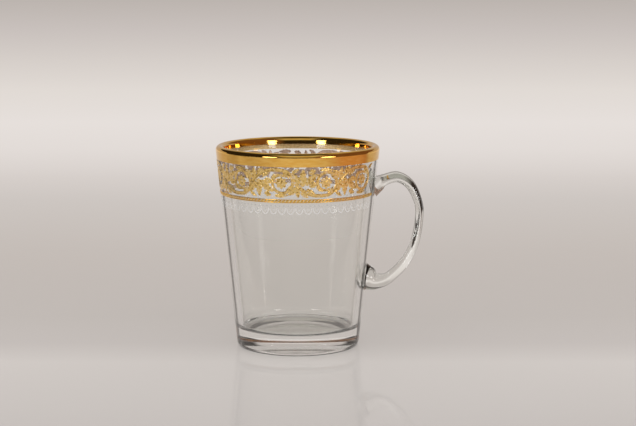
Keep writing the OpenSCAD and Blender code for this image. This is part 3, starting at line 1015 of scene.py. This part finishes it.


# The room round the set, as metal and glass show it, partly as painted reflection and shade on the sweep.
# Places are in metres.
# Painted reflection: right of the mug the sweep glows warm in reflections only, deeper further back
WARM_RIGHT = (0.2, 0.32)
WARM_BACK = (0.0, 0.25)
WARM_SLOPE = 0.37
WARM_END = (-0.03, 0.06)
PAINTED_WARM_REFLECTION = (0.56, 0.35, 0.26)
PAINTED_WARM_REFLECTION_DEEP = (0.34, 0.19, 0.13)
# Painted shade: through glass the sweep is dark beyond these places, right and left
GLASS_SHADE_RIGHT = (0.42, 0.58)
GLASS_SHADE_LEFT = (-0.6, -0.8)
# Painted shadow on the floor under the foot, weaker behind: inner and outer edge, and the fall to the back
FOOT_SHADE = (0.05, 0.05, 0.05)
FOOT_SHADE_IN = (0.0235, 0.0245)
FOOT_SHADE_OUT = (0.0287, 0.0298)
FOOT_SHADE_BACK = (-0.012, 0.012)
FOOT_SHADE_BACK_SHARE = 0.45
ROOM_DARK = (0.025, 0.02, 0.017)
ROOM_HIGH = (0.5, 0.48, 0.42)
GLASS_ROOM_HIGH = (0.37, 0.355, 0.31)
ROOM_RIGHT_TONE = (0.17, 0.09, 0.055)
ROOM_PALE = (0.6, 0.555, 0.53)
# Where the room turns pale and then dark again on the way up, and dark or warm to the sides
ROOM_RISE = (0.14, 0.34)
GLASS_ROOM_RISE = (0.45, 0.75)
ROOM_CEILING = (0.86, 0.93)
ROOM_LEFT = (-0.3, -0.5)
ROOM_RIGHT = (0.35, 0.55)
ROOM_FILL = (1.0, 1.0, 1.0)
# Painted light and shade on the lit board: share of the way from BOARD_RUN's start to its end, then the
# colour
BOARD_RUN = (-0.3, 0.06)
BOARD_PAINTED_LIGHT = [
    (0.0, (0.74, 0.70, 0.67)), (0.42, (0.60, 0.56, 0.535)), (0.72, (0.69, 0.645, 0.615)),
    (0.83, (0.60, 0.555, 0.53)), (1.0, (0.575, 0.53, 0.50)),
]


def sweep_material():
    """A faintly glossy pale board, lit by the room near the mug and glowing with painted light behind it."""
    nodes = Nodes(bpy.data.materials.new("pale_sweep"))
    place = nodes.add("ShaderNodeTexCoord")
    split = nodes.add("ShaderNodeSeparateXYZ")
    nodes.link(place.outputs["Object"], split.inputs["Vector"])
    x = split.outputs["X"]
    y = split.outputs["Y"]
    run = nodes.math("ADD", y, split.outputs["Z"])
    path = nodes.add("ShaderNodeLightPath")
    through = path.outputs["Is Transmission Ray"]
    mirrored = nodes.math("SUBTRACT", nodes.math("MAXIMUM", path.outputs["Is Glossy Ray"], through), through)

    # Painted light along the floor: the board's colour changes from front to back
    board = nodes.add("ShaderNodeBsdfPrincipled", Roughness=0.05, Specular_IOR_Level=0.12)
    nodes.link(nodes.ramp(nodes.range(y, *BOARD_RUN, 0, 1), BOARD_PAINTED_LIGHT), board.inputs["Base Color"])
    # Painted light: behind the mug the sweep glows, to the camera, in reflections and through glass
    low = SWEEP_PAINTED_LIGHT[0][0]
    high = SWEEP_PAINTED_LIGHT[-1][0]
    share = nodes.range(run, low * MM, high * MM, 0, 1)
    glow = nodes.add("ShaderNodeEmission")
    stops = [((p - low) / (high - low), tone) for p, tone in SWEEP_PAINTED_LIGHT]
    nodes.link(nodes.ramp(share, stops), glow.inputs["Color"])
    seen = nodes.math("MAXIMUM", path.outputs["Is Camera Ray"], nodes.math("MAXIMUM", mirrored, through))
    toned = nodes.math("MULTIPLY", seen, nodes.range(run, *PAINTED_GLOW_RUN, 0, 1))
    surface = nodes.mix(toned, board.outputs["BSDF"], glow.outputs["Emission"])

    # Painted shadow: a dark ring on the floor under the foot, weaker behind the mug
    shade = nodes.add("ShaderNodeBsdfDiffuse", Color=(*FOOT_SHADE, 1))
    away = nodes.math("SQRT", nodes.math("ADD", nodes.math("MULTIPLY", x, x), nodes.math("MULTIPLY", y, y)))
    ring = nodes.range(away, *FOOT_SHADE_IN, 0, 1)
    ring = nodes.math("MULTIPLY", ring, nodes.range(away, *FOOT_SHADE_OUT, 1, 0))
    ring = nodes.math("MULTIPLY", ring, nodes.range(y, *FOOT_SHADE_BACK, 1, FOOT_SHADE_BACK_SHARE))
    surface = nodes.mix(ring, surface, shade.outputs["BSDF"])

    # Painted reflection: right of the mug the sweep glows warm in reflections only
    warm = nodes.add("ShaderNodeEmission")
    deep = nodes.range(y, *WARM_BACK, 0, 1)
    nodes.link(nodes.ramp(deep, [(0, PAINTED_WARM_REFLECTION), (1, PAINTED_WARM_REFLECTION_DEEP)]), warm.inputs["Color"])
    behind = nodes.math("SUBTRACT", y, nodes.math("MULTIPLY", x, WARM_SLOPE))
    side = nodes.math("MULTIPLY", nodes.range(x, *WARM_RIGHT, 0, 1), nodes.range(behind, *WARM_END, 1, 0))
    side = nodes.math("MULTIPLY", mirrored, side)
    surface = nodes.mix(side, surface, warm.outputs["Emission"])

    # Painted shade: through glass the sweep is dark beyond both sides
    dark = nodes.add("ShaderNodeEmission", Color=(*ROOM_DARK, 1))
    painted_dark_sides = nodes.math("MAXIMUM", nodes.range(x, *GLASS_SHADE_RIGHT, 0, 1), nodes.range(x, *GLASS_SHADE_LEFT, 0, 1))
    surface = nodes.mix(nodes.math("MULTIPLY", through, painted_dark_sides), surface, dark.outputs["Emission"])
    open_below = nodes.add("ShaderNodeBsdfTransparent")
    below = nodes.add("ShaderNodeNewGeometry").outputs["Backfacing"]
    return nodes.end(nodes.mix(below, surface, open_below.outputs["BSDF"]))


def make_sweep():
    """The floor, the bend and the wall of the backdrop."""
    profile = [(SWEEP_FRONT, 0.0), (SWEEP_BACK - SWEEP_BEND, 0.0)]
    profile += arc_points((SWEEP_BACK - SWEEP_BEND, SWEEP_BEND), SWEEP_BEND, -pi / 2, 0, BEND_STEPS)[1:]
    profile.append((SWEEP_BACK, SWEEP_TOP))
    points = []
    for y, z in profile:
        points += [(-SWEEP_HALF_W * MM, y * MM, z * MM), (SWEEP_HALF_W * MM, y * MM, z * MM)]
    faces = [(2 * i, 2 * i + 1, 2 * i + 3, 2 * i + 2) for i in range(len(profile) - 1)]
    mesh = bpy.data.meshes.new("sweep")
    mesh.from_pydata(points, [], faces)
    mesh.materials.append(sweep_material())
    mesh.shade_smooth()
    sweep = add_object("sweep", mesh)


# Soft boxes: direction from the mug on the floor plan, then sizes and places in metres and power in watts
SOFT_BOXES = {"left_soft_box": (-0.62, -0.784), "right_soft_box": (0.67, -0.71)}
BOX_DISTANCE = 1.2
BOX_WIDTH = 0.44
BOX_HEIGHT = 0.226
BOX_MIDDLE_Z = 0.281
BOX_AIM_Z = 0.05
BOX_POWER = 1.6


def make_lights():
    """Two soft boxes and a world that is pale to the camera, dim in reflections and even as fill."""
    lit = bpy.data.collections.new("lit_by_soft_boxes")
    for piece in bpy.context.scene.objects:
        if piece.type == "MESH" and piece.name != "sweep":
            lit.objects.link(piece)
    for name, direction in SOFT_BOXES.items():
        lamp = bpy.data.lights.new(name, "AREA")
        lamp.shape = "ELLIPSE"
        lamp.size = BOX_WIDTH
        lamp.size_y = BOX_HEIGHT
        lamp.energy = BOX_POWER
        box = add_object(name, lamp)
        box.location = (direction[0] * BOX_DISTANCE, direction[1] * BOX_DISTANCE, BOX_MIDDLE_Z)
        aim = Vector((0, 0, BOX_AIM_Z)) - box.location
        box.rotation_euler = aim.to_track_quat("-Z", "Y").to_euler()
        box.visible_camera = False
        box.light_linking.receiver_collection = lit
    world = bpy.data.worlds.new("studio")
    bpy.context.scene.world = world
    nodes = Nodes(world, "ShaderNodeOutputWorld")
    split = nodes.add("ShaderNodeSeparateXYZ")
    nodes.link(nodes.add("ShaderNodeTexCoord").outputs["Generated"], split.inputs["Vector"])
    shades = []
    for colour in (ROOM_FILL, ROOM_PALE, ROOM_HIGH, GLASS_ROOM_HIGH, ROOM_DARK, ROOM_RIGHT_TONE):
        shade = nodes.add("ShaderNodeBackground", Color=(*colour, 1))
        shades.append(shade.outputs["Background"])
    fill, pale, high, glass_high, dark, warm = shades
    x = split.outputs["X"]
    z = split.outputs["Z"]
    lit_share = nodes.math("MULTIPLY", nodes.range(z, *ROOM_RISE, 0, 1), nodes.range(z, *ROOM_CEILING, 1, 0))
    room = nodes.mix(lit_share, dark, high)
    room = nodes.mix(nodes.range(x, *ROOM_LEFT, 0, 1), room, dark)
    room = nodes.mix(nodes.range(x, *ROOM_RIGHT, 0, 1), room, warm)
    glass_room = nodes.mix(nodes.range(z, *GLASS_ROOM_RISE, 0, 1), dark, glass_high)
    path = nodes.add("ShaderNodeLightPath")
    room = nodes.mix(path.outputs["Is Transmission Ray"], room, glass_room)
    seen = nodes.math("MAXIMUM", path.outputs["Is Glossy Ray"], path.outputs["Is Transmission Ray"])
    plain = nodes.mix(path.outputs["Is Camera Ray"], fill, pale)
    nodes.end(nodes.mix(seen, plain, room))


# Camera: place in millimetres, tilt below the horizon in degrees, lens and sensor in millimetres
CAMERA_PLACE = (9.9, -790.668, 186.637)
CAMERA_TILT = 8.76
CAMERA_LENS = 92.43
CAMERA_SENSOR = 36.0


def make_camera():
    """The camera at the photograph's viewing angle."""
    data = bpy.data.cameras.new("camera")
    data.lens = CAMERA_LENS
    data.sensor_width = CAMERA_SENSOR
    camera = add_object("camera", data)
    camera.location = [c * MM for c in CAMERA_PLACE]
    camera.rotation_euler = (radians(90 - CAMERA_TILT), 0, 0)
    bpy.context.scene.camera = camera


# Tints of the glass and tones of the gold
GLASS_TINT = (0.985, 0.988, 0.975)
HANDLE_TINT = (0.975, 0.98, 0.955)
BURNISHED_PALE = (0.97, 0.6, 0.155)
BURNISHED_DEEP = (0.9, 0.5, 0.1)
SATIN_PALE = (1.0, 0.7, 0.25)
SATIN_DEEP = (0.5, 0.28, 0.06)
SATIN_BLUSH = (1.0, 0.79, 0.5)
ROPE_PALE = (1.0, 0.64, 0.12)
ROPE_DEEP = (1.0, 0.55, 0.07)
UNDER_PALE = (0.72, 0.5, 0.38)
UNDER_DEEP = (0.5, 0.34, 0.26)
BAND_UNDER_PALE = (1.0, 0.73, 0.38)
BAND_UNDER_DEEP = (0.82, 0.56, 0.25)

make_camera()
make_sweep()
clear_glass = glass_material("clear_glass", GLASS_TINT, PAINTED_RIM_SHADE, WALL_WAVE)
inside_glass = glass_material("clear_glass_inside", GLASS_TINT, INSIDE_PAINTED_RIM_SHADE, WALL_WAVE)
under_glass = glass_material("clear_glass_under", GLASS_TINT, GLASS_TINT, WALL_WAVE, STIPPLED)
handle_glass = glass_material("handle_glass", HANDLE_TINT, PAINTED_RIM_SHADE, HANDLE_WAVE)
burnished = gold_material(
    "burnished_gold", (BURNISHED_DEEP, BURNISHED_PALE), smooth=0.03, rough=0.07, grain=700.0, depth=0.00001,
    stretch=(1, 1, 4),
)
satin = gold_material(
    "satin_gold", (SATIN_DEEP, SATIN_PALE, SATIN_PALE, SATIN_BLUSH), smooth=0.22, rough=0.36, grain=2600.0,
    depth=0.00005,
)
bright = gold_material(
    "bright_gold", (ROPE_DEEP, ROPE_PALE), smooth=0.1, rough=0.2, grain=2600.0, depth=0.00002,
)
gold_under = gold_material(
    "fired_gold_underside", (UNDER_DEEP, UNDER_PALE), smooth=0.4, rough=0.55, grain=1800.0, depth=0.00002,
    metallic=0.45,
)
band_under = gold_material(
    "band_underside", (BAND_UNDER_DEEP, BAND_UNDER_PALE), smooth=0.4, rough=0.6, grain=2400.0, depth=0.00004,
    metallic=0.5,
)
white_etch = etch_material("etched_white", thin=0.3, thick=0.42)
faint_etch = etch_material("etched_faint", thin=0.1, thick=0.2)
make_glass(clear_glass, inside_glass, under_glass, handle_glass, joint_material())
make_gilding(burnished, band_under)
make_frieze(satin, gold_under)
make_rope(bright, gold_under)
make_lace(white_etch, faint_etch)
make_lights()

scene = bpy.context.scene
scene.view_settings.view_transform = "Standard"
scene.cycles.max_bounces = 24
scene.cycles.transmission_bounces = 24
scene.cycles.glossy_bounces = 10
scene.cycles.transparent_max_bounces = 32
scene.cycles.caustics_reflective = False
scene.cycles.caustics_refractive = False
